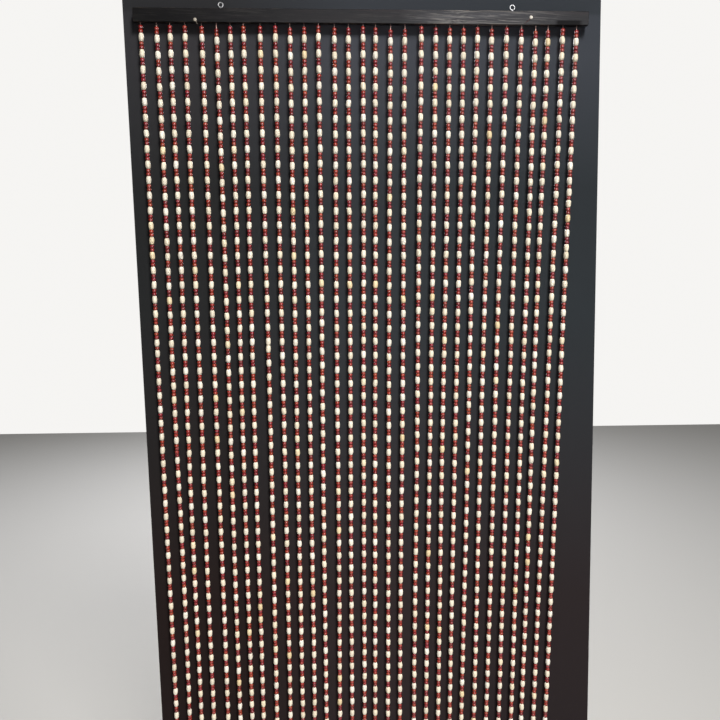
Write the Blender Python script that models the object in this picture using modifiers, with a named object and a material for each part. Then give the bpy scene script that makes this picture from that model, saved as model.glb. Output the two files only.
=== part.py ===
# Bead door curtain on its batten, as closed solids in metres with Z up.
# The origin is the middle of the batten's flat back, which lies against the wall. +X runs
# along the batten to the viewer's right, +Y into the wall, and -Y faces the viewer.
import math
from collections import namedtuple

import bmesh
import bpy

# Gap that each piece keeps to the next one, and the distance under which points are one
CLEARANCE = 0.0003
WELD = 0.00001

# Batten: a planed lath, with a stopped groove along its underside for the strings
BATTEN_LENGTH = 0.904
BATTEN_HEIGHT = 0.026
BATTEN_DEPTH = 0.012
BATTEN_EDGE = 0.0008
GROOVE_DEPTH = 0.0062
GROOVE_HEIGHT = 0.0030
BATTEN_TOP = BATTEN_HEIGHT / 2
BATTEN_BOTTOM = -BATTEN_HEIGHT / 2
STRING_Y = -BATTEN_DEPTH / 2

# Beads: one cream oval and two red rounds, over and over
CREAM_LENGTH = 0.0160
CREAM_DIAMETER = 0.0100
RED_LENGTH = 0.00725
RED_JOINT_DIAMETER = 0.0056
REPEAT = CREAM_LENGTH + 2 * RED_LENGTH
CREAMS_PER_STRING = 59
THREAD_DIAMETER = 0.0020

# Strings: three-sided strands on a narrow strip, which lies in the batten's groove
SIDES = 3
STRIP_HEIGHT = GROOVE_HEIGHT - CLEARANCE
STRIP_END = 0.0060
FIRST_STRING_X = -0.439

# One row a string, from the left: the gap from the string before it, and how far below the
# batten the middle of its first cream bead hangs, both in millimetres
String = namedtuple("String", "gap first_cream")
STRINGS = [String(*row) for row in (
    (0, 28), (31, 31), (26, 28), (29, 28), (33, 29), (29, 34), (27, 29), (26, 28),
    (33, 28), (30, 27), (29, 31), (28, 29), (28, 26), (32, 30), (28, 30), (29, 27),
    (25, 29), (30, 33), (29, 32), (33, 26), (29, 28), (28, 29), (28, 29), (28, 27),
    (29, 30), (30, 27), (30, 30), (29, 33), (25, 32), (30, 28), (28, 31),
)]
MILLIMETRE = 0.001

# Screw eyes: wire rings on short stems, screwed down into the batten's top edge
EYE_WIRE_RADIUS = 0.0011
EYE_RING_RADIUS = 0.0044
EYE_MIDDLE_ABOVE_BATTEN = 0.0072
EYE_STEM_IN_BATTEN = 0.0090
EYE_X = {"screw_eye_left": -0.281, "screw_eye_right": 0.298}

# Nails: domed heads on the batten's face
NAIL_HEAD_RADIUS = 0.0033
NAIL_HEAD_HEIGHT = 0.0015
NAIL_RIM_HEIGHT = 0.0004
NAIL_SHANK_RADIUS = 0.0010
NAIL_IN_BATTEN = 0.0080
NAIL_POINT = 0.0015
NAIL_DOME_DEGREES = (0, 30, 60, 90)
NAIL_PLACES = {"nail_left": (-0.331, -0.0090), "nail_right": (0.335, 0.0003)}

# Steps round the turned pieces
ROUND_STEPS = 12
RING_STEPS = 20
WIRE_STEPS = 8
SMOOTH_UNDER_DEGREES = 50


def clear_scene():
    for obj in list(bpy.data.objects):
        bpy.data.objects.remove(obj, do_unlink=True)


def collection(name):
    made = bpy.data.collections.new(name)
    bpy.context.scene.collection.children.link(made)
    return made


def material(name, colour, roughness, metallic=0.0):
    made = bpy.data.materials.new(name)
    made.use_nodes = True
    shader = made.node_tree.nodes["Principled BSDF"]
    shader.inputs["Base Color"].default_value = (*colour, 1.0)
    shader.inputs["Roughness"].default_value = roughness
    shader.inputs["Metallic"].default_value = metallic
    return made


def object_from(name, mesh, home, finish=None):
    """A new object made from a bmesh, which is freed."""
    data = bpy.data.meshes.new(name)
    mesh.to_mesh(data)
    mesh.free()
    obj = bpy.data.objects.new(name, data)
    home.objects.link(obj)
    if finish:
        data.materials.append(finish)
    return obj


def box(name, low, high, home, finish=None):
    """A box between two opposite corners."""
    mesh = bmesh.new()
    bmesh.ops.create_cube(mesh, size=1.0)
    sizes = [b - a for a, b in zip(low, high)]
    middle = [(a + b) / 2 for a, b in zip(low, high)]
    bmesh.ops.scale(mesh, vec=sizes, verts=mesh.verts)
    bmesh.ops.translate(mesh, vec=middle, verts=mesh.verts)
    return object_from(name, mesh, home, finish)


def rod(name, radius, length, home, location, rotation=(0, 0, 0), steps=ROUND_STEPS):
    """A round rod whose end is at the location, running along its own -Z."""
    mesh = bmesh.new()
    bmesh.ops.create_cone(mesh, cap_ends=True, segments=steps, radius1=radius, radius2=radius, depth=length)
    bmesh.ops.translate(mesh, vec=(0, 0, -length / 2), verts=mesh.verts)
    obj = object_from(name, mesh, home)
    obj.location = location
    obj.rotation_euler = rotation
    return obj


def combine(obj, other, operation):
    """Cut the other object from this one or join it on, and hide the other."""
    boolean = obj.modifiers.new(f"{operation} {other.name}", "BOOLEAN")
    boolean.operation = operation
    boolean.object = other
    other.hide_render = True
    other.display_type = "WIRE"


def smooth(obj):
    obj.data.shade_smooth()
    obj.data.set_sharp_from_angle(angle=math.radians(SMOOTH_UNDER_DEGREES))


def string_places():
    """Each string's X and its first cream bead's drop below the batten."""
    x = FIRST_STRING_X
    places = []
    for string in STRINGS:
        x += string.gap * MILLIMETRE
        places.append((x, string.first_cream * MILLIMETRE))
    return places


def build_batten(home, cutters):
    """The lath, with the groove for the strings and blind holes for the eyes and nails."""
    paint = material("black_paint", (0.012, 0.012, 0.013), 0.55)
    half = BATTEN_LENGTH / 2
    batten = box("batten", (-half, -BATTEN_DEPTH, BATTEN_BOTTOM), (half, 0, BATTEN_TOP), home, paint)
    bevel = batten.modifiers.new("Worn edges", "BEVEL")
    bevel.width = BATTEN_EDGE
    bevel.segments = 2

    xs = [x for x, _ in string_places()]
    reach = STRIP_END + CLEARANCE
    groove = box(
        "groove_cutter",
        (xs[0] - reach, STRING_Y - GROOVE_DEPTH / 2, BATTEN_BOTTOM - GROOVE_HEIGHT),
        (xs[-1] + reach, STRING_Y + GROOVE_DEPTH / 2, BATTEN_BOTTOM + GROOVE_HEIGHT),
        cutters,
    )
    combine(batten, groove, "DIFFERENCE")

    above = 2 * CLEARANCE
    for name, x in EYE_X.items():
        radius = EYE_WIRE_RADIUS + CLEARANCE
        depth = EYE_STEM_IN_BATTEN + CLEARANCE + above
        hole = rod(f"{name}_hole", radius, depth, cutters, (x, STRING_Y, BATTEN_TOP + above))
        combine(batten, hole, "DIFFERENCE")
    for name, (x, z) in NAIL_PLACES.items():
        radius = NAIL_SHANK_RADIUS + CLEARANCE
        depth = NAIL_IN_BATTEN + CLEARANCE + above
        place = (x, -BATTEN_DEPTH - above, z)
        hole = rod(f"{name}_hole", radius, depth, cutters, place, rotation=(math.radians(90), 0, 0))
        combine(batten, hole, "DIFFERENCE")


def build_screw_eye(name, x, home, cutters):
    """A wire ring facing the viewer, on a stem that stands in the batten's top edge."""
    steel = material(f"{name}_steel", (0.62, 0.60, 0.57), 0.32, metallic=1.0)
    middle = BATTEN_TOP + EYE_MIDDLE_ABOVE_BATTEN
    bpy.ops.mesh.primitive_torus_add(
        location=(x, STRING_Y, middle),
        rotation=(math.radians(90), 0, 0),
        major_radius=EYE_RING_RADIUS,
        minor_radius=EYE_WIRE_RADIUS,
        major_segments=RING_STEPS,
        minor_segments=WIRE_STEPS,
    )
    eye = bpy.context.active_object
    eye.name = name
    for old in eye.users_collection:
        old.objects.unlink(eye)
    home.objects.link(eye)
    eye.data.materials.append(steel)
    stem_top = middle - EYE_RING_RADIUS
    stem_length = stem_top - BATTEN_TOP + EYE_STEM_IN_BATTEN
    stem = rod(f"{name}_stem", EYE_WIRE_RADIUS, stem_length, cutters, (x, STRING_Y, stem_top))
    combine(eye, stem, "UNION")
    smooth(eye)


def build_nail(name, x, z, home):
    """A turned nail: domed head, straight shank and point, driven in from the viewer's side."""
    tin = material(f"{name}_metal", (0.66, 0.63, 0.58), 0.40, metallic=1.0)
    dome = NAIL_HEAD_HEIGHT - NAIL_RIM_HEIGHT
    profile = []
    for degrees in NAIL_DOME_DEGREES:
        angle = math.radians(degrees)
        profile.append((NAIL_HEAD_RADIUS * math.sin(angle), NAIL_RIM_HEIGHT + dome * math.cos(angle)))
    profile += [
        (NAIL_HEAD_RADIUS, 0),
        (NAIL_SHANK_RADIUS, 0),
        (NAIL_SHANK_RADIUS, -NAIL_IN_BATTEN + NAIL_POINT),
        (0, -NAIL_IN_BATTEN),
    ]
    mesh = bmesh.new()
    points = [mesh.verts.new((radius, 0, height)) for radius, height in profile]
    for upper, lower in zip(points, points[1:]):
        mesh.edges.new((upper, lower))
    nail = object_from(name, mesh, home, tin)
    turn = nail.modifiers.new("Turned", "SCREW")
    turn.axis = "Z"
    turn.steps = ROUND_STEPS
    turn.render_steps = ROUND_STEPS
    turn.use_merge_vertices = True
    turn.merge_threshold = WELD
    turn.use_smooth_shade = True
    nail.location = (x, -BATTEN_DEPTH - CLEARANCE, z)
    nail.rotation_euler = (math.radians(90), 0, 0)


def strand_profile(first_cream):
    """Radius and height down a string: thread, then a swell at every second cream bead.

    Each swell's side is as wide as a cream bead, and each waist's as the joint between two reds.
    """
    side_to_radius = 1 / (2 * math.sin(math.pi / SIDES))
    swell = CREAM_DIAMETER * side_to_radius
    waist = RED_JOINT_DIAMETER * side_to_radius
    thread = THREAD_DIAMETER * side_to_radius
    root = BATTEN_BOTTOM + STRIP_HEIGHT / 2
    first = BATTEN_BOTTOM - first_cream
    profile = [(0, root), (thread, root), (thread, first + REPEAT - CREAM_LENGTH / 2)]
    for bead in range(CREAMS_PER_STRING):
        radius = waist if bead % 2 else swell
        profile.append((radius, first - bead * REPEAT))
    end = profile[-1][1] - CREAM_LENGTH / 2
    profile += [(waist / 2, end), (0, end)]
    return profile


def build_strings(home, cutters):
    """All strings, their roots fused into the strip that lies in the batten's groove."""
    cream = material("cream_and_red_beads", (0.72, 0.52, 0.42), 0.28)
    places = string_places()
    xs = [x for x, _ in places]
    half_depth = GROOVE_DEPTH / 2 - CLEARANCE
    strings = box(
        "strings",
        (xs[0] - STRIP_END, STRING_Y - half_depth, BATTEN_BOTTOM),
        (xs[-1] + STRIP_END, STRING_Y + half_depth, BATTEN_BOTTOM + STRIP_HEIGHT),
        home,
        cream,
    )
    mesh = bmesh.new()
    for x, first_cream in places:
        profile = strand_profile(first_cream)
        points = [mesh.verts.new((x, STRING_Y - radius, height)) for radius, height in profile]
        edges = [mesh.edges.new(pair) for pair in zip(points, points[1:])]
        bmesh.ops.spin(
            mesh, geom=points + edges, cent=(x, STRING_Y, 0), axis=(0, 0, 1),
            angle=math.tau, steps=SIDES, use_merge=True,
        )
    bmesh.ops.remove_doubles(mesh, verts=mesh.verts, dist=WELD)
    bmesh.ops.recalc_face_normals(mesh, faces=mesh.faces)
    strands = object_from("strands", mesh, cutters)
    combine(strings, strands, "UNION")


def build():
    clear_scene()
    home = collection("bead_door_curtain")
    cutters = collection("cutters")
    build_batten(home, cutters)
    for name, x in EYE_X.items():
        build_screw_eye(name, x, home, cutters)
    for name, (x, z) in NAIL_PLACES.items():
        build_nail(name, x, z, home)
    build_strings(home, cutters)


build()
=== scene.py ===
import math

import bmesh
import bpy
import numpy as np
from mathutils import Euler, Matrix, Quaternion, Vector


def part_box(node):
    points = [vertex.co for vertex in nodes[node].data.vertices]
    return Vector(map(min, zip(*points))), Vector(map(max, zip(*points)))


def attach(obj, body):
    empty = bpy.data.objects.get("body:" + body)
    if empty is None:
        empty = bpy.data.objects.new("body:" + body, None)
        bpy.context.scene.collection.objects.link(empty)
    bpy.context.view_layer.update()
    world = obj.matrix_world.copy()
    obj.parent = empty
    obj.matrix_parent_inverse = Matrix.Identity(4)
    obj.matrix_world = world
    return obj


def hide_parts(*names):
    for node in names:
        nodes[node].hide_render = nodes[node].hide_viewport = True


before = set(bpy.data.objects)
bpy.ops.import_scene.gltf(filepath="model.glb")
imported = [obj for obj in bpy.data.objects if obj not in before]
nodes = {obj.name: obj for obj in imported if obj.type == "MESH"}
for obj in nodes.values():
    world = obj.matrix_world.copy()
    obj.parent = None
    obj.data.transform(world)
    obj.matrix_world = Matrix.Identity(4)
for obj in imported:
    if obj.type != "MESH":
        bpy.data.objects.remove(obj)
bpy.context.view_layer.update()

batten_low, batten_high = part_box("batten")

# Camera: the viewer stands a step and a half in front of the curtain, a little below the
# batten, and looks slightly down, so the curtain's foot is out of the picture.
VIEWER = (-0.0698, -1.5309, -0.4244)
LOOKS_DOWN = 9.927
LOOKS_RIGHT = 2.287
HEAD_TILT = -0.182
LENS = 36.0
SENSOR_WIDTH = 36.0


def placed(name, data):
    """An object of the data, put in the scene."""
    made = bpy.data.objects.new(name, data)
    bpy.context.scene.collection.objects.link(made)
    return made


camera_data = bpy.data.cameras.new("camera")
camera_data.lens = LENS
camera_data.sensor_width = SENSOR_WIDTH
camera = placed("camera", camera_data)
camera.location = VIEWER
turn = Euler((math.radians(90 - LOOKS_DOWN), 0, math.radians(-LOOKS_RIGHT))).to_quaternion()
camera.rotation_mode = "QUATERNION"
camera.rotation_quaternion = turn @ Quaternion((0, 0, 1), math.radians(HEAD_TILT))
bpy.context.scene.camera = camera


# Studio: a pale floor and a charcoal panel just behind the curtain, which shows from the front
# alone. The panel has a painted sheen at its top, painted shade down towards its foot and painted
# shade towards both sides. A soft key lamp stands high on the right, a weak one lights the foot,
# a wide panel beside the viewer shines in the glossy finishes, and a last lamp lights the back.
FLOOR_HEIGHT = -1.95
FLOOR_HALF = 4.0
PANEL_LEFT = -0.475
PANEL_RIGHT_AT_TOP = 0.480
PANEL_RIGHT_AT_FOOT = 0.550
PANEL_TOP = 0.06
PANEL_BEHIND = 0.005
CHARCOAL_PAINTED_SHEEN = (0.0500, 0.0550, 0.0680)
CHARCOAL_PAINTED_SHADE = (0.0285, 0.0330, 0.0385)
CHARCOAL_PAINTED_DEEP_SHADE = (0.0255, 0.0200, 0.0215)
PAINTED_SHADE_TO_LEFT = (0.68, 0.62, 0.57)
PAINTED_SHADE_TO_RIGHT = (0.88, 0.90, 0.90)
PAINTED_SHEEN_FADES_DOWN = (-0.07, -0.33)
PAINTED_SHEEN_FADES_ABOVE = (0.008, 0.014, 0.0, 0.5)
PAINTED_SHADE_TO_FOOT = (-0.60, -1.25)
PAINTED_SHADE_ON_LEFT = (-0.02, -0.30)
PAINTED_SHADE_ON_RIGHT = (0.02, 0.30)
PALE_GREY = (0.46, 0.455, 0.44)


def add(tree, kind, sockets=None, **settings):
    """A new node: its settings by name, and its inputs set to a value or linked to an output."""
    node = tree.nodes.new(kind)
    for name, value in settings.items():
        setattr(node, name, value)
    for name, value in (sockets or {}).items():
        if isinstance(value, bpy.types.NodeSocket):
            tree.links.new(value, node.inputs[name])
        else:
            node.inputs[name].default_value = value
    return node


def blank_material(name):
    """A material with no nodes yet, and its tree."""
    made = bpy.data.materials.new(name)
    made.use_nodes = True
    made.node_tree.nodes.clear()
    return made, made.node_tree


def finish_material(tree, surface):
    """Gives a material its output, so it comes last."""
    add(tree, "ShaderNodeOutputMaterial", {"Surface": surface})


def mesh_object(name, corners, faces):
    """An object of a new mesh, put in the scene."""
    data = bpy.data.meshes.new(name)
    data.from_pydata(corners, [], faces)
    return placed(name, data)


def blended(tree, share, first, second, how="MIX"):
    """A colour between two, where share 1 is the second, or is the first dimmed by the second."""
    def socket(value):
        return value if isinstance(value, bpy.types.NodeSocket) else (*value, 1)
    sockets = {0: share, 6: socket(first), 7: socket(second)}
    return add(tree, "ShaderNodeMix", sockets, data_type="RGBA", blend_type=how).outputs[2]


def ranged(tree, value, low, high, out_low=0.0, out_high=1.0):
    """The value stretched from one range to another, and held inside it."""
    return add(tree, "ShaderNodeMapRange", {
        "Value": value, "From Min": low, "From Max": high,
        "To Min": out_low, "To Max": out_high}).outputs[0]


def maths(tree, operation, *values, clamp=False):
    sockets = dict(enumerate(values))
    return add(tree, "ShaderNodeMath", sockets, operation=operation, use_clamp=clamp).outputs[0]


floor = mesh_object("floor", [
    (-FLOOR_HALF, -FLOOR_HALF, FLOOR_HEIGHT), (FLOOR_HALF, -FLOOR_HALF, FLOOR_HEIGHT),
    (FLOOR_HALF, FLOOR_HALF, FLOOR_HEIGHT), (-FLOOR_HALF, FLOOR_HALF, FLOOR_HEIGHT),
], [(0, 1, 2, 3)])
floor_paint, tree = blank_material("pale_floor")
finish_material(tree, add(tree, "ShaderNodeBsdfDiffuse", {"Color": (*PALE_GREY, 1)}).outputs[0])
floor.data.materials.append(floor_paint)

panel = mesh_object("panel", [
    (PANEL_LEFT, PANEL_BEHIND, FLOOR_HEIGHT), (PANEL_RIGHT_AT_FOOT, PANEL_BEHIND, FLOOR_HEIGHT),
    (PANEL_RIGHT_AT_TOP, PANEL_BEHIND, PANEL_TOP), (PANEL_LEFT, PANEL_BEHIND, PANEL_TOP),
], [(0, 1, 2, 3)])
panel_paint, tree = blank_material("charcoal_panel_painted_light")
at = add(tree, "ShaderNodeSeparateXYZ", {0: add(tree, "ShaderNodeTexCoord").outputs["Object"]}).outputs
# Painted light on the charcoal: a sheen at the top that fades downwards and half fades above the batten,
# painted shade deepening towards the foot, and painted shade towards both sides.
below = ranged(tree, at["Z"], *PAINTED_SHEEN_FADES_DOWN)
above = ranged(tree, at["Z"], *PAINTED_SHEEN_FADES_ABOVE)
charcoal = blended(tree, maths(tree, "MAXIMUM", below, above), CHARCOAL_PAINTED_SHEEN, CHARCOAL_PAINTED_SHADE)
charcoal = blended(tree, ranged(tree, at["Z"], *PAINTED_SHADE_TO_FOOT), charcoal, CHARCOAL_PAINTED_DEEP_SHADE)
charcoal = blended(tree, ranged(tree, at["X"], *PAINTED_SHADE_ON_LEFT), charcoal, PAINTED_SHADE_TO_LEFT, "MULTIPLY")
charcoal = blended(tree, ranged(tree, at["X"], *PAINTED_SHADE_ON_RIGHT), charcoal, PAINTED_SHADE_TO_RIGHT, "MULTIPLY")
paint = add(tree, "ShaderNodeBsdfDiffuse", {"Color": charcoal}).outputs[0]
behind = add(tree, "ShaderNodeNewGeometry").outputs["Backfacing"]
clear = add(tree, "ShaderNodeBsdfTransparent").outputs[0]
finish_material(tree, add(tree, "ShaderNodeMixShader", {0: behind, 1: paint, 2: clear}).outputs[0])
panel.data.materials.append(panel_paint)
panel.visible_shadow = False


def soft_lamp(name, place, aim, width, height, power, colour):
    """A lamp with a wide flat face that shines from its place towards its aim."""
    data = bpy.data.lights.new(name, "AREA")
    data.shape = "RECTANGLE"
    data.size = width
    data.size_y = height
    data.energy = power
    data.color = colour
    lamp = placed(name, data)
    lamp.location = place
    lamp.rotation_euler = (Vector(aim) - Vector(place)).to_track_quat("-Z", "Y").to_euler()
    lamp.visible_camera = False
    return lamp


WARM_WHITE = (1.0, 0.97, 0.92)
COOL_WHITE = (0.94, 0.95, 1.0)
key_lamp = soft_lamp("key_lamp", (0.95, -2.6, 3.15), (0, 0, -0.6), 1.05, 1.05, 282, WARM_WHITE)
foot_lamp = soft_lamp("foot_lamp", (0.90, -2.4, -0.1), (0, 0, -1.5), 1.0, 0.8, 7.5, WARM_WHITE)
foot_lamp.data.spread = math.radians(70)
key_lamp.visible_glossy = False
foot_lamp.visible_glossy = False
shine_panel = soft_lamp("shine_panel", (1.05, -2.3, 0.55), (1.05, 0, 0.55), 2.7, 2.6, 130, COOL_WHITE)
shine_panel.visible_diffuse = False
soft_lamp("back_lamp", (-0.3, 3.4, 0.9), (0, 0, -0.8), 1.4, 1.4, 150, COOL_WHITE)

ROOM_GLOW = 0.09
ROOM_SHADE = 0.10
ROOM_SEEN_AHEAD = 0.92
ROOM_SEEN_BEHIND = 0.20
ROOM_TURN = 0.35
world = bpy.data.worlds.new("studio")
bpy.context.scene.world = world
world.use_nodes = True
air = world.node_tree
air.nodes.clear()
facing = add(air, "ShaderNodeTexCoord").outputs["Generated"]
towards_back = add(air, "ShaderNodeSeparateXYZ", {0: facing}).outputs["Y"]
glow = ranged(air, towards_back, -ROOM_TURN, ROOM_TURN, ROOM_GLOW, ROOM_SHADE)
pale = ranged(air, towards_back, -ROOM_TURN, ROOM_TURN, ROOM_SEEN_BEHIND, ROOM_SEEN_AHEAD)
seen = add(air, "ShaderNodeLightPath").outputs["Is Camera Ray"]
level = add(air, "ShaderNodeMix", {"Factor": seen, "A": glow, "B": pale}).outputs["Result"]
air_light = add(air, "ShaderNodeBackground", {"Strength": level, "Color": (1.0, 0.99, 0.97, 1)})
add(air, "ShaderNodeOutputWorld", {"Surface": air_light.outputs[0]})
bpy.context.scene.view_settings.view_transform = "Standard"


# Batten: a planed softwood lath, stained black so that its grain still shows, rubbed grey-brown
# along its edges and scuffed with pale wavy streaks on its right half. Its right half is also
# greyer and bluer, partly from wear and partly a painted sheen.
BATTEN_LENGTH = batten_high.x - batten_low.x
BATTEN_HEIGHT = batten_high.z - batten_low.z
BATTEN_FRONT = batten_low.y
BATTEN_UNDERSIDE = batten_low.z
BATTEN_TOP = batten_high.z
BLACK_STAIN = (0.0048, 0.0045, 0.0048)
WORN_STAIN_AND_SHEEN = (0.025, 0.0195, 0.0215)
RUBBED_STAIN_AND_SHEEN = (0.062, 0.062, 0.070)
BARE_WOOD = (0.120, 0.090, 0.070)
PALE_SCUFF = (0.190, 0.178, 0.168)
WORN_AND_SHEEN_FROM_LEFT = (-0.40, -0.15, 0.10, 0.9)
GRAIN_SHOWS_UP_TO_TOP = (0.001, 0.008, 0.55, 1.0)
RUB_AND_SHEEN_FROM = (0.07, 0.17)
RUB_AND_SHEEN_TO = (0.43, 0.24)
SCUFF_SLOPE = 0.055
BARE_EDGE = (0.0014, 0.0004)
PATCH_LEFT = (0.383, 0.391)
PATCH_RIGHT = (0.440, 0.432)
PATCH_TOP = (-0.0035, -0.0055)


def new_group(name, inputs, outputs):
    """An empty shader group, with its named inputs as (kind, value) and its named outputs."""
    tree = bpy.data.node_groups.new(name, "ShaderNodeTree")
    for label, (kind, value) in inputs.items():
        socket = tree.interface.new_socket(label, in_out="INPUT", socket_type=f"NodeSocket{kind}")
        if kind == "Float":
            socket.default_value = value
    for label, kind in outputs.items():
        tree.interface.new_socket(label, in_out="OUTPUT", socket_type=f"NodeSocket{kind}")
    return tree, tree.nodes.new("NodeGroupInput").outputs, tree.nodes.new("NodeGroupOutput").inputs


def place_group(tree, group, sockets):
    """The outputs of a group placed in a material."""
    return add(tree, "ShaderNodeGroup", sockets, node_tree=group).outputs


# Streaks: long thin marks that run one way and waver, for wood grain, scuffs and drawn plastic.
streaks, given, sent = new_group(
    "streaks",
    {"Vector": ("Vector", None), "Along": ("Float", 4.0), "Across": ("Float", 90.0),
     "Waver": ("Float", 0.3), "Low": ("Float", 0.5), "High": ("Float", 0.7)},
    {"Mask": "Float"},
)
apart = add(streaks, "ShaderNodeSeparateXYZ", {0: given["Vector"]}).outputs
stretched = add(streaks, "ShaderNodeCombineXYZ", {
    "X": maths(streaks, "MULTIPLY", apart["X"], given["Along"]),
    "Y": maths(streaks, "MULTIPLY", apart["Y"], given["Across"]),
    "Z": maths(streaks, "MULTIPLY", apart["Z"], given["Across"])}).outputs[0]
marks = add(streaks, "ShaderNodeTexNoise", {
    "Vector": stretched, "Scale": 1.0, "Detail": 4.0, "Roughness": 0.6,
    "Distortion": given["Waver"]}).outputs["Fac"]
streaks.links.new(ranged(streaks, marks, given["Low"], given["High"]), sent["Mask"])

# Grime: soft uneven patches, for dust, rub marks and dulled gloss.
grime, given, sent = new_group(
    "grime",
    {"Vector": ("Vector", None), "Scale": ("Float", 60.0),
     "Low": ("Float", 0.45), "High": ("Float", 0.75)},
    {"Mask": "Float"},
)
patches = add(grime, "ShaderNodeTexNoise", {
    "Vector": given["Vector"], "Scale": given["Scale"], "Detail": 5.0, "Roughness": 0.65}).outputs["Fac"]
grime.links.new(ranged(grime, patches, given["Low"], given["High"]), sent["Mask"])


def black_stained_wood(name):
    """Stained softwood for the batten, with its wear and a painted sheen placed by where it is along and
    across it.
    """
    made, tree = blank_material(name)
    spot = add(tree, "ShaderNodeTexCoord").outputs["Object"]
    at = add(tree, "ShaderNodeSeparateXYZ", {0: spot}).outputs
    grain = place_group(tree, streaks, {
        "Vector": spot, "Along": 5.0, "Across": 260.0, "Waver": 0.8, "Low": 0.42, "High": 0.66})["Mask"]
    broad = place_group(tree, streaks, {
        "Vector": spot, "Along": 3.0, "Across": 70.0, "Waver": 1.6, "Low": 0.40, "High": 0.75})["Mask"]
    # The grain's paler stain is stronger towards the top and fades out at the left end; its rise to the
    # right is partly a painted sheen.
    worn_and_sheen = maths(tree, "MULTIPLY", grain, ranged(tree, broad, 0, 1, 0.25, 1.0))
    worn_and_sheen = maths(tree, "MULTIPLY", worn_and_sheen, ranged(tree, at["Z"], *GRAIN_SHOWS_UP_TO_TOP))
    worn_and_sheen = maths(tree, "MULTIPLY", worn_and_sheen, ranged(tree, at["X"], *WORN_AND_SHEEN_FROM_LEFT))
    colour = blended(tree, worn_and_sheen, BLACK_STAIN, WORN_STAIN_AND_SHEEN)

    # Most of the right half is greyer, rubbed and with a painted sheen, and its scuffs follow a slow wave
    # down to the right
    right_half = maths(tree, "MULTIPLY",
                       ranged(tree, at["X"], *RUB_AND_SHEEN_FROM), ranged(tree, at["X"], *RUB_AND_SHEEN_TO))
    rubbed_and_sheen = maths(tree, "MULTIPLY", right_half, ranged(tree, broad, 0, 1, 0.30, 0.95))
    colour = blended(tree, rubbed_and_sheen, colour, RUBBED_STAIN_AND_SHEEN)
    sloped = add(tree, "ShaderNodeCombineXYZ", {
        "X": at["X"], "Y": at["Y"],
        "Z": maths(tree, "ADD", at["Z"], maths(tree, "MULTIPLY", at["X"], SCUFF_SLOPE))}).outputs[0]
    scuffs = place_group(tree, streaks, {
        "Vector": sloped, "Along": 9.0, "Across": 190.0, "Waver": 2.2, "Low": 0.50, "High": 0.68})["Mask"]
    few = place_group(tree, grime, {"Vector": spot, "Scale": 14.0, "Low": 0.35, "High": 0.60})["Mask"]
    everywhere = maths(tree, "MULTIPLY", few, 0.14)
    scuffed = maths(tree, "MULTIPLY", scuffs, maths(tree, "MAXIMUM", right_half, everywhere))
    colour = blended(tree, maths(tree, "MULTIPLY", scuffed, 0.8), colour, PALE_SCUFF)

    # Rubbed edges show bare wood where the distance to an edge is under about a millimetre
    from_long_edge = maths(tree, "SUBTRACT", BATTEN_HEIGHT / 2, maths(tree, "ABSOLUTE", at["Z"]))
    from_end = maths(tree, "SUBTRACT", BATTEN_LENGTH / 2, maths(tree, "ABSOLUTE", at["X"]))
    from_edge = maths(tree, "MINIMUM", from_long_edge, from_end)
    ragged = place_group(tree, grime, {"Vector": spot, "Scale": 120.0, "Low": 0.50, "High": 0.70})["Mask"]
    rubbed = maths(tree, "MULTIPLY", ranged(tree, from_edge, *BARE_EDGE), ragged)
    rubbed = maths(tree, "MULTIPLY", rubbed, ranged(tree, right_half, 0, 1, 0.45, 1.0))
    colour = blended(tree, rubbed, colour, BARE_WOOD)

    # One dull black patch low down, near the right end
    patch = maths(tree, "MULTIPLY",
                  ranged(tree, at["X"], *PATCH_LEFT), ranged(tree, at["X"], *PATCH_RIGHT))
    patch = maths(tree, "MULTIPLY", patch, ranged(tree, at["Z"], *PATCH_TOP))
    colour = blended(tree, patch, colour, BLACK_STAIN)
    rough = maths(tree, "ADD", 0.36, maths(tree, "MULTIPLY", worn_and_sheen, 0.22))
    rough = maths(tree, "ADD", rough, maths(tree, "MULTIPLY", patch, 0.4), clamp=True)
    height = maths(tree, "ADD", maths(tree, "MULTIPLY", grain, -0.6), maths(tree, "MULTIPLY", scuffed, 0.3))
    dents = add(tree, "ShaderNodeBump", {"Height": height, "Strength": 0.25, "Distance": 0.0005}).outputs[0]
    shader = add(tree, "ShaderNodeBsdfPrincipled", {
        "Base Color": colour, "Roughness": rough, "Normal": dents, "Specular IOR Level": 0.11})
    finish_material(tree, shader.outputs[0])
    return made


stained_wood = black_stained_wood("black_stained_wood")
batten = nodes["batten"]
batten.data.materials.clear()
batten.data.materials.append(stained_wood)


# Strings: each is one thread with its beads in order, two red and one cream over and over. The
# threads run up into a narrow lath in the batten's groove, and end below in an overhand knot.
CREAM_LENGTH = 0.0159
CREAM_RADIUS = 0.0051
RED_LENGTH = 0.00718
RED_RADIUS = 0.0042
HOLE_RADIUS = 0.0011
THREAD_RADIUS = 0.00070
MEAN_SLACK = 0.00006
CREAMS_PER_STRING = 59
REDS_BETWEEN = 2
STRING_Y = (batten_low.y + batten_high.y) / 2
FIRST_STRING_X = -0.439
SWAY = 0.0010
SWAY_SETTLES_BY = 0.15
LEAN = 2.2
SIZE_VARIES = 0.015
LENGTH_VARIES = 0.008
CREAM_SPREAD = 0.00015
RED_SPREAD = 0.00012
MILLIMETRE = 0.001

# One row a string, from the left: the gap from the string before it, and how far below the
# batten the middle of its first cream bead hangs, both in millimetres
STRINGS = (
    (0, 28), (31, 31), (26, 28), (29, 28), (33, 29), (29, 34), (27, 29), (26, 28),
    (33, 28), (30, 27), (29, 31), (28, 29), (28, 26), (32, 30), (28, 30), (29, 27),
    (25, 29), (30, 33), (29, 32), (33, 26), (29, 28), (28, 29), (28, 29), (28, 27),
    (29, 30), (30, 27), (30, 30), (29, 33), (25, 32), (30, 28), (28, 31),
)
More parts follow.
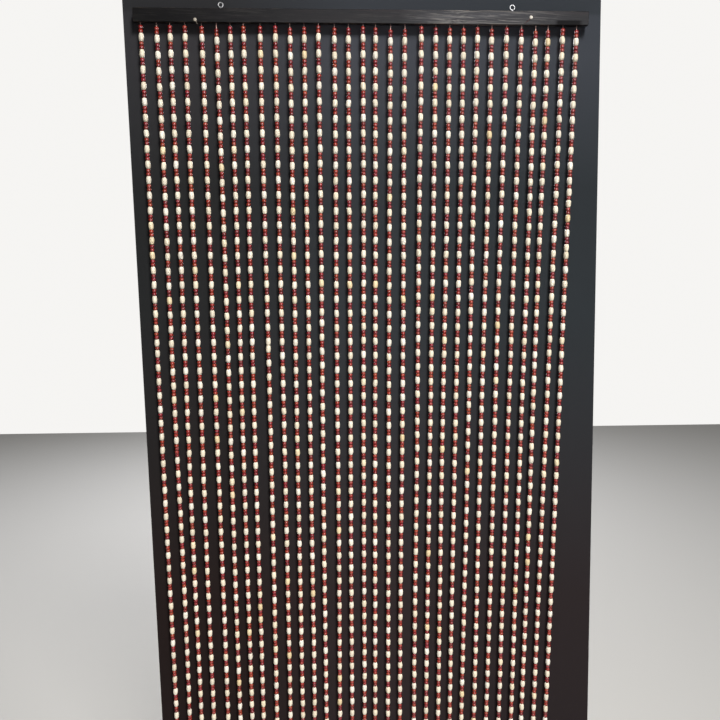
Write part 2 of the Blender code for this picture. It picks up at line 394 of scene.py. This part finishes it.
# Slips of the threader's hand: the string and the cream bead, both counted from 0, and how many
# red beads follow it
SLIPS = {
    (0, 20): 1, (1, 27): 4, (8, 20): 0, (12, 18): 1, (20, 42): 1, (20, 43): 3, (21, 36): 3,
    (23, 24): 1, (28, 21): 1, (30, 9): 1, (30, 10): 1, (30, 14): 0,
}


def turned_shape(outline, steps, closed):
    """Corners and faces turned about Z from an outline of (radius, height), closed or open.

    Merging leaves them in a different order each run, so they are sorted.
    """
    form = bmesh.new()
    points = [form.verts.new((radius, 0, height)) for radius, height in outline]
    following = points[1:] + points[:1] if closed else points[1:]
    edges = [form.edges.new(pair) for pair in zip(points, following)]
    bmesh.ops.spin(
        form, geom=points + edges, cent=(0, 0, 0), axis=(0, 0, 1),
        angle=math.tau, steps=steps, use_merge=True,
    )
    bmesh.ops.remove_doubles(form, verts=form.verts, dist=0.00001)
    bmesh.ops.recalc_face_normals(form, faces=form.faces)
    form.verts.index_update()
    corners = np.array([vert.co for vert in form.verts])
    order = np.lexsort(np.round(corners, 7).T)
    place_of = np.argsort(order).tolist()
    faces = sorted([place_of[vert.index] for vert in face.verts] for face in form.faces)
    form.free()
    return corners[order], faces


def threaded_beads(name, shape, rows):
    """All beads of one kind on a string, joined, with each bead's tone and the height along it.

    A row is a bead's middle, its two sizes, its lean about X and Y, its turn and its tone.
    """
    corners, faces = shape[0], np.array(shape[1])
    half = np.abs(corners[:, 2]).max()
    made_corners = []
    made_faces = []
    tones = []
    for number, (middle, width, length, lean_x, lean_y, spin, tone) in enumerate(rows):
        pose = np.array(Euler((lean_x, lean_y, spin)).to_matrix())
        sized = corners * (width, width, length)
        made_corners.append(sized @ pose.T + middle)
        made_faces.append(faces + number * len(corners))
        tones.append(np.full(len(corners), tone))
    made_corners = np.concatenate(made_corners).tolist()
    made_faces = np.concatenate(made_faces).tolist()
    beads = mesh_object(name, made_corners, made_faces)
    mesh = beads.data
    tone_layer = mesh.attributes.new("tone", "FLOAT", "POINT")
    tone_layer.data.foreach_set("value", np.concatenate(tones))
    along_layer = mesh.attributes.new("along", "FLOAT", "POINT")
    along_layer.data.foreach_set("value", np.tile(np.abs(corners[:, 2]) / half, len(rows)))
    mesh.shade_smooth()
    mesh.set_sharp_from_angle(angle=math.radians(62))
    return beads


def both_halves(upper):
    """A bead's whole outline from its upper half."""
    return upper + [(radius, -height) for radius, height in reversed(upper)]


CREAM_STEPS = 12
RED_STEPS = 10
half = CREAM_LENGTH / 2
cream_shape = turned_shape(both_halves([
    (HOLE_RADIUS, half * 0.965), (CREAM_RADIUS * 0.56, half * 0.99), (CREAM_RADIUS * 0.80, half * 0.84),
    (CREAM_RADIUS * 0.945, half * 0.56), (CREAM_RADIUS * 1.01, half * 0.20),
]), CREAM_STEPS, closed=True)
half = RED_LENGTH / 2
red_shape = turned_shape(both_halves([
    (HOLE_RADIUS, half * 0.97), (RED_RADIUS * 0.74, half * 0.94), (RED_RADIUS, half * 0.42),
]), RED_STEPS, closed=True)

SEED = 59
draw = np.random.default_rng(SEED)


def string_path(x):
    """A function of the depth below the batten that gives a string's slight sway."""
    waves = draw.uniform(2.5, 7.0, 2)
    starts = draw.uniform(0, math.tau, 2)
    sizes = draw.uniform(0.3, 1.0, 2) * (SWAY, SWAY * 0.35)

    def place(depth):
        settled = 1 - math.exp(-depth / SWAY_SETTLES_BY)
        side, out = sizes * np.sin(waves * depth + starts) * settled
        return np.array((x + side, STRING_Y + out, BATTEN_UNDERSIDE - depth))
    return place


def bead_row(place, depth, spread, tone):
    """One bead at a depth, with its own slight size, lean and turn."""
    width, length = 1 + draw.normal(0, SIZE_VARIES, 2)
    lean_x, lean_y = np.radians(draw.normal(0, LEAN, 2))
    middle = place(depth) + (*draw.normal(0, spread, 2), 0)
    return middle, width, length, lean_x, lean_y, draw.uniform(0, math.tau), tone


def string_beads(number, place, first_cream):
    """The rows of the cream and the red beads of one string, and the depth where they end."""
    rows = {"cream": [], "red": []}
    depth = first_cream - CREAM_LENGTH / 2 - REDS_BETWEEN * RED_LENGTH - 2 * MEAN_SLACK
    reds = REDS_BETWEEN
    for cream in range(CREAMS_PER_STRING):
        for _ in range(reds):
            rows["red"].append(bead_row(place, depth + RED_LENGTH / 2, RED_SPREAD, draw.uniform()))
            depth += RED_LENGTH + MEAN_SLACK * draw.uniform(0.2, 1.8)
        rows["cream"].append(bead_row(place, depth + CREAM_LENGTH / 2, CREAM_SPREAD, draw.uniform()))
        depth += CREAM_LENGTH * draw.normal(1, LENGTH_VARIES) + MEAN_SLACK * draw.uniform(0.2, 1.8)
        reds = SLIPS.get((number, cream), REDS_BETWEEN)
    return rows, depth


# Bead ends and cloud: each bead darkens towards its holes, where it meets the next bead, and is a
# little cloudy. Each bead has its own shade, which the tone gives once it is shuffled.
SHUFFLE = 37.3
bead_ends_and_cloud, given, sent = new_group(
    "bead_ends_and_cloud",
    {"Vector": ("Vector", None), "Along": ("Float", 0.0), "Tone": ("Float", 0.5)},
    {"Ends": "Float", "Cloud": "Float", "Shade": "Float"},
)
darker_ends_mask = ranged(bead_ends_and_cloud, given["Along"], 0.90, 1.0)
cloud = add(bead_ends_and_cloud, "ShaderNodeTexNoise", {
    "Vector": given["Vector"], "Scale": 260.0, "Detail": 3.0, "Roughness": 0.55}).outputs["Fac"]
shuffled = maths(bead_ends_and_cloud, "FRACT", maths(bead_ends_and_cloud, "MULTIPLY", given["Tone"], SHUFFLE))
bead_ends_and_cloud.links.new(darker_ends_mask, sent["Ends"])
bead_ends_and_cloud.links.new(cloud, sent["Cloud"])
bead_ends_and_cloud.links.new(ranged(bead_ends_and_cloud, shuffled, 0, 1, 0.85, 1.0), sent["Shade"])


def bead_material(name, stops, dark_mark_colour, streak_strength):
    """A bead's material before its shader, with its tree, colour, added roughness and bump."""
    made, tree = blank_material(name)
    spot = add(tree, "ShaderNodeTexCoord").outputs["Object"]
    upright = add(tree, "ShaderNodeMapping", {
        "Vector": spot, "Rotation": (0, math.radians(90), 0)}).outputs[0]
    tone = add(tree, "ShaderNodeAttribute", attribute_name="tone").outputs["Fac"]
    along = add(tree, "ShaderNodeAttribute", attribute_name="along").outputs["Fac"]
    ends_and_cloud = place_group(tree, bead_ends_and_cloud, {"Vector": spot, "Along": along, "Tone": tone})
    ramp = add(tree, "ShaderNodeValToRGB", {"Fac": tone})
    steps = ramp.color_ramp.elements
    while len(steps) < len(stops):
        steps.new(0.5)
    for step, (place, colour) in zip(steps, stops):
        step.position = place
        step.color = (*colour, 1)
    fine = place_group(tree, streaks, {
        "Vector": upright, "Along": 60.0, "Across": 900.0, "Waver": 0.4, "Low": 0.50, "High": 0.72})["Mask"]
    dark = maths(tree, "MULTIPLY", ends_and_cloud["Shade"], ranged(tree, ends_and_cloud["Cloud"], 0.3, 0.7, 0.92, 1.0))
    shade = add(tree, "ShaderNodeCombineColor", {0: dark, 1: dark, 2: dark}).outputs[0]
    colour = blended(tree, 1.0, ramp.outputs[0], shade, "MULTIPLY")
    # Each bead darkens towards its holes, where it meets the next bead.
    darker_ends = maths(tree, "MULTIPLY", ends_and_cloud["Ends"], 0.22)
    marked = maths(tree, "MAXIMUM", darker_ends, maths(tree, "MULTIPLY", fine, streak_strength))
    colour = blended(tree, marked, colour, dark_mark_colour)
    bump = add(tree, "ShaderNodeBump", {
        "Height": ends_and_cloud["Cloud"], "Strength": 0.12, "Distance": 0.0004}).outputs[0]
    return made, tree, colour, maths(tree, "MULTIPLY", ends_and_cloud["Cloud"], 0.16), bump


CREAM_TONES = (
    (0.0, (0.88, 0.82, 0.70)), (0.50, (0.83, 0.745, 0.58)), (0.89, (0.90, 0.86, 0.77)),
    (0.97, (0.84, 0.72, 0.49)), (1.0, (0.80, 0.64, 0.38)),
)
CREAM_DARK_MARK = (0.42, 0.28, 0.15)
CREAM_ROUGHNESS = 0.32
cream_finish, tree, colour, cloudy, bump = bead_material("cream_bead", CREAM_TONES, CREAM_DARK_MARK, 0.14)
finish_material(tree, add(tree, "ShaderNodeBsdfPrincipled", {
    "Base Color": colour, "Normal": bump, "Specular IOR Level": 0.35,
    "Roughness": maths(tree, "ADD", CREAM_ROUGHNESS, cloudy), "Coat Weight": 0.10, "Coat Roughness": 0.15,
}).outputs[0])

RED_TONES = (
    (0.0, (0.28, 0.014, 0.011)), (0.30, (0.34, 0.034, 0.013)), (0.55, (0.25, 0.008, 0.018)),
    (0.80, (0.18, 0.010, 0.010)), (1.0, (0.36, 0.046, 0.014)),
)
RED_DARK_MARK = (0.035, 0.005, 0.004)
RED_ROUGHNESS = 0.20
red_finish, tree, colour, cloudy, bump = bead_material("red_bead", RED_TONES, RED_DARK_MARK, 0.18)
finish_material(tree, add(tree, "ShaderNodeBsdfPrincipled", {
    "Base Color": colour, "Normal": bump, "Roughness": maths(tree, "ADD", RED_ROUGHNESS, cloudy),
    "Coat Weight": 0.85, "Coat Roughness": 0.20,
}).outputs[0])


def thread_fibre(name, colour, dark_colour):
    """Twisted thread: slanting plies that show as fine dark lines, and no gloss."""
    made, tree = blank_material(name)
    spot = add(tree, "ShaderNodeTexCoord").outputs["Object"]
    plies = add(tree, "ShaderNodeTexWave", {
        "Vector": spot, "Scale": 420.0, "Distortion": 1.5, "Detail": 1.0},
        bands_direction="DIAGONAL").outputs["Fac"]
    fuzz = place_group(tree, grime, {"Vector": spot, "Scale": 1400.0, "Low": 0.35, "High": 0.7})["Mask"]
    shade = blended(tree, maths(tree, "MULTIPLY", plies, 0.6), colour, dark_colour)
    shade = blended(tree, maths(tree, "MULTIPLY", fuzz, 0.3), shade, dark_colour)
    bump = add(tree, "ShaderNodeBump", {"Height": plies, "Strength": 0.5, "Distance": 0.0002}).outputs[0]
    shader = add(tree, "ShaderNodeBsdfPrincipled", {"Base Color": shade, "Roughness": 0.85, "Normal": bump})
    finish_material(tree, shader.outputs[0])
    return made


PALE_THREAD = (0.92, 0.62, 0.56)
DARK_THREAD = (0.58, 0.20, 0.17)
thread_finish = thread_fibre("twisted_thread", PALE_THREAD, DARK_THREAD)

THREAD_SIDES = 6
THREAD_ABOVE = 0.0015
THREAD_POINTS = 60
KNOT_SIZE = 0.00105
KNOT_BELOW = 0.0016
KNOT_HALF = 0.0008
KNOT_STEPS = 36
TAIL_LENGTH = 0.009
TAIL_CURL = 0.0008
TAIL_POINTS = 6
TAIL_THINNED = 0.8


def tube(points, radius, sides):
    """Corners and faces of a round tube along points, its rings square to its run, its ends shut."""
    points = np.asarray(points, float)
    runs = np.gradient(points, axis=0)
    runs /= np.linalg.norm(runs, axis=1)[:, None]
    side = np.cross(runs[0], (0.3, 1.0, 0.2))
    corners = []
    for point, run in zip(points, runs):
        side = side - run * side.dot(run)
        side /= np.linalg.norm(side)
        other = np.cross(run, side)
        for step in range(sides):
            angle = math.tau * step / sides
            corners.append(point + radius * (math.cos(angle) * side + math.sin(angle) * other))
    faces = []
    for ring in range(len(points) - 1):
        for step in range(sides):
            a = ring * sides + step
            b = ring * sides + (step + 1) % sides
            faces.append((a, b, b + sides, a + sides))
    faces.append(tuple(reversed(range(sides))))
    faces.append(tuple(range(len(corners) - sides, len(corners))))
    return [tuple(corner) for corner in corners], faces


def overhand_knot(middle, turn):
    """Points of an overhand knot: a trefoil whose two ends run up into the string and down."""
    points = []
    for step in range(KNOT_STEPS + 1):
        angle = math.tau * (step / KNOT_STEPS)
        across = math.sin(angle) + 2 * math.sin(2 * angle)
        deep = math.cos(angle) - 2 * math.cos(2 * angle)
        high = -math.sin(3 * angle)
        points.append(Vector((across * 0.62, high * 0.62, deep * 0.75)) * KNOT_SIZE)
    spin = Quaternion((0, 0, 1), turn)
    return [Vector(middle) + spin @ point for point in points]


def add_tube(parts, points, radius):
    """Adds a thread's tube to a list of joined corners and faces."""
    corners, faces = tube(points, radius, THREAD_SIDES)
    start = len(parts[0])
    parts[0].extend(corners)
    parts[1].extend(tuple(start + corner for corner in face) for face in faces)


thread_parts = ([], [])
x = FIRST_STRING_X
for number, (gap, first_cream) in enumerate(STRINGS):
    x += gap * MILLIMETRE
    place = string_path(x)
    rows, foot = string_beads(number, place, first_cream * MILLIMETRE)
    label = f"string_{number + 1:02d}"
    for kind, shape, finish in (("cream", cream_shape, cream_finish), ("red", red_shape, red_finish)):
        beads = threaded_beads(f"{label}_{kind}_beads", shape, rows[kind])
        beads.data.materials.append(finish)
        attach(beads, "root")
        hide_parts("strings")

    knot = place(foot) - (0, 0, KNOT_BELOW)
    depths = np.linspace(-THREAD_ABOVE, foot + KNOT_BELOW - KNOT_HALF, THREAD_POINTS)
    run = [place(max(depth, 0)) + (0, 0, max(-depth, 0)) for depth in depths]
    add_tube(thread_parts, run, THREAD_RADIUS)
    add_tube(thread_parts, overhand_knot(knot, draw.uniform(0, math.tau)), THREAD_RADIUS)
    curl = draw.normal(0, TAIL_CURL, 2)
    tail = [knot + (*(curl * t * t), -KNOT_HALF - TAIL_LENGTH * t) for t in np.linspace(0, 1, TAIL_POINTS)]
    add_tube(thread_parts, tail, THREAD_RADIUS * TAIL_THINNED)

threads = mesh_object("threads", *thread_parts)
threads.data.shade_smooth()
threads.data.materials.append(thread_finish)
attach(threads, "root")
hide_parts("strings")


# String lath: the narrow stained strip in the batten's groove that holds the threads' roots. It
# runs a little past the first and the last string, and its edges are eased.
LATH_WIDTH = 0.0056
LATH_HEIGHT = 0.0026
LATH_PAST_STRING = 0.0058
LATH_EASED = 0.0003
lath_form = bmesh.new()
bmesh.ops.create_cube(lath_form, size=1.0)
lath_length = x - FIRST_STRING_X + 2 * LATH_PAST_STRING
bmesh.ops.scale(lath_form, vec=(lath_length, LATH_WIDTH, LATH_HEIGHT), verts=lath_form.verts)
lath_middle = ((FIRST_STRING_X + x) / 2, STRING_Y, BATTEN_UNDERSIDE + LATH_HEIGHT / 2)
bmesh.ops.translate(lath_form, vec=lath_middle, verts=lath_form.verts)
bmesh.ops.bevel(
    lath_form, geom=lath_form.edges[:], offset=LATH_EASED, segments=2, affect="EDGES", profile=0.5,
)
lath_data = bpy.data.meshes.new("string_lath")
lath_form.to_mesh(lath_data)
lath_form.free()
lath = placed("string_lath", lath_data)
lath.data.materials.append(stained_wood)
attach(lath, "root")
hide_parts("strings")


# Screw eyes: bent steel wire, dull plating with brown spots, the ring's end just short of its
# stem. Each stands in the batten's top edge.
EYE_RING_RADIUS = 0.00455
EYE_WIRE_RADIUS = 0.00095
EYE_WIRE_SIDES = 14
EYE_STEM_IN_BATTEN = 0.0088
EYE_NECK = 0.0016
EYE_RING_STEPS = 44
EYE_OPEN_DEGREES = 12
PLATED_STEEL = (0.60, 0.60, 0.59)
DULL_STEEL = (0.36, 0.33, 0.29)
RUST = (0.22, 0.085, 0.03)


def plated_steel(name):
    """Dull plated steel with a few brown spots."""
    made, tree = blank_material(name)
    spot = add(tree, "ShaderNodeTexCoord").outputs["Object"]
    dull = place_group(tree, grime, {"Vector": spot, "Scale": 900.0, "Low": 0.40, "High": 0.70})["Mask"]
    spots = place_group(tree, grime, {
        "Vector": spot, "Scale": 420.0, "Low": 0.60, "High": 0.72})["Mask"]
    colour = blended(tree, maths(tree, "MULTIPLY", dull, 0.45), PLATED_STEEL, DULL_STEEL)
    colour = blended(tree, spots, colour, RUST)
    rough = maths(tree, "ADD", maths(tree, "MULTIPLY", dull, 0.2), maths(tree, "MULTIPLY", spots, 0.4))
    rough = maths(tree, "ADD", rough, 0.28)
    bump = add(tree, "ShaderNodeBump", {"Height": dull, "Strength": 0.25, "Distance": 0.0002}).outputs[0]
    metal = ranged(tree, spots, 0, 1, 1.0, 0.1)
    shader = add(tree, "ShaderNodeBsdfPrincipled", {
        "Base Color": colour, "Roughness": rough, "Metallic": metal, "Normal": bump})
    finish_material(tree, shader.outputs[0])
    return made


steel = plated_steel("plated_steel")
for name in ("screw_eye_left", "screw_eye_right"):
    low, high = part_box(name)
    middle_x = (low.x + high.x) / 2
    middle_z = high.z - EYE_RING_RADIUS - EYE_WIRE_RADIUS
    route = [(middle_x, STRING_Y, BATTEN_TOP - EYE_STEM_IN_BATTEN)]
    route.append((middle_x, STRING_Y, middle_z - EYE_RING_RADIUS - EYE_NECK))
    for step in range(EYE_RING_STEPS + 1):
        turned = (360 - EYE_OPEN_DEGREES) * step / EYE_RING_STEPS
        angle = math.radians(-90 + EYE_OPEN_DEGREES / 2 + turned)
        rise = EYE_RING_RADIUS * math.sin(angle)
        route.append((middle_x + EYE_RING_RADIUS * math.cos(angle), STRING_Y, middle_z + rise))
    eye = mesh_object(f"{name}_wire", *tube(route, EYE_WIRE_RADIUS, EYE_WIRE_SIDES))
    eye.data.shade_smooth()
    eye.data.set_sharp_from_angle(angle=math.radians(60))
    eye.data.materials.append(steel)
    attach(eye, "root")
    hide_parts(name)


# Nails: turned heads with worn cream paint, driven through the batten's face. Each holds down a
# wisp of thread, pale at the left and dark red at the right.
NAIL_STEPS = 28
NAIL_HEAD_RADIUS = 0.0033
NAIL_HEAD_HEIGHT = 0.0015
NAIL_DOME_FOOT = 0.0004
NAIL_RIM = 0.0003
NAIL_SHANK_RADIUS = 0.0010
NAIL_LENGTH = 0.0080
NAIL_POINT = 0.0015
NAIL_PROUD = 0.0003
WISP_RADIUS = 0.00045


def painted_metal(name, paint_colour):
    """Dulled paint, chipped through to the metal in small flakes."""
    made, tree = blank_material(name)
    spot = add(tree, "ShaderNodeTexCoord").outputs["Object"]
    chipped = place_group(tree, grime, {"Vector": spot, "Scale": 700.0, "Low": 0.56, "High": 0.64})["Mask"]
    dull = place_group(tree, grime, {"Vector": spot, "Scale": 300.0, "Low": 0.35, "High": 0.75})["Mask"]
    paint = blended(tree, maths(tree, "MULTIPLY", dull, 0.35), paint_colour, DULL_STEEL)
    colour = blended(tree, chipped, paint, DULL_STEEL)
    shader = add(tree, "ShaderNodeBsdfPrincipled", {
        "Base Color": colour, "Roughness": 0.5, "Metallic": maths(tree, "MULTIPLY", chipped, 0.8)})
    finish_material(tree, shader.outputs[0])
    return made


# The wisp's points, as how far each is to the right of the nail and above it
NAILS = {
    "nail_left": {
        "paint": (0.40, 0.36, 0.30),
        "wisp": ((0, 0), (0.0022, -0.0030), (0.0030, -0.0062), (0.0046, -0.0082)),
    },
    "nail_right": {
        "paint": (0.66, 0.62, 0.55),
        "wisp": ((0, 0), (-0.0040, -0.0048), (-0.0085, -0.0082), (-0.0130, -0.0118)),
    },
}
wisp_threads = {
    "nail_left": thread_fibre("pale_wisp", (0.42, 0.36, 0.30), (0.20, 0.15, 0.12)),
    "nail_right": thread_fibre("red_wisp", (0.080, 0.012, 0.010), (0.030, 0.004, 0.004)),
}
for name, look in NAILS.items():
    low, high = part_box(name)
    centre = (low + high) / 2
    outline = [(0, NAIL_HEAD_HEIGHT)]
    for degrees in range(12, 85, 12):
        angle = math.radians(degrees)
        outline.append((NAIL_HEAD_RADIUS * math.sin(angle),
                        NAIL_DOME_FOOT + (NAIL_HEAD_HEIGHT - NAIL_DOME_FOOT) * math.cos(angle)))
    outline += [(NAIL_HEAD_RADIUS, NAIL_RIM), (NAIL_HEAD_RADIUS * 0.97, 0), (NAIL_SHANK_RADIUS, 0)]
    outline += [(NAIL_SHANK_RADIUS, -NAIL_LENGTH + NAIL_POINT), (0, -NAIL_LENGTH)]
    nail = mesh_object(f"{name}_head", *turned_shape(outline, NAIL_STEPS, closed=False))
    nail.data.shade_smooth()
    nail.data.set_sharp_from_angle(angle=math.radians(50))
    nail.location = (centre.x, BATTEN_FRONT - NAIL_PROUD, centre.z)
    nail.rotation_euler = (math.radians(90), 0, 0)
    nail.data.materials.append(painted_metal(f"{name}_paint", look["paint"]))
    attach(nail, "root")
    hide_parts(name)

    route = [(centre.x + right, BATTEN_FRONT - WISP_RADIUS, centre.z + up) for right, up in look["wisp"]]
    wisp = mesh_object(f"{name}_wisp", *tube(route, WISP_RADIUS, THREAD_SIDES))
    wisp.data.shade_smooth()
    wisp.data.materials.append(wisp_threads[name])
    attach(wisp, "root")
    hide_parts(name)
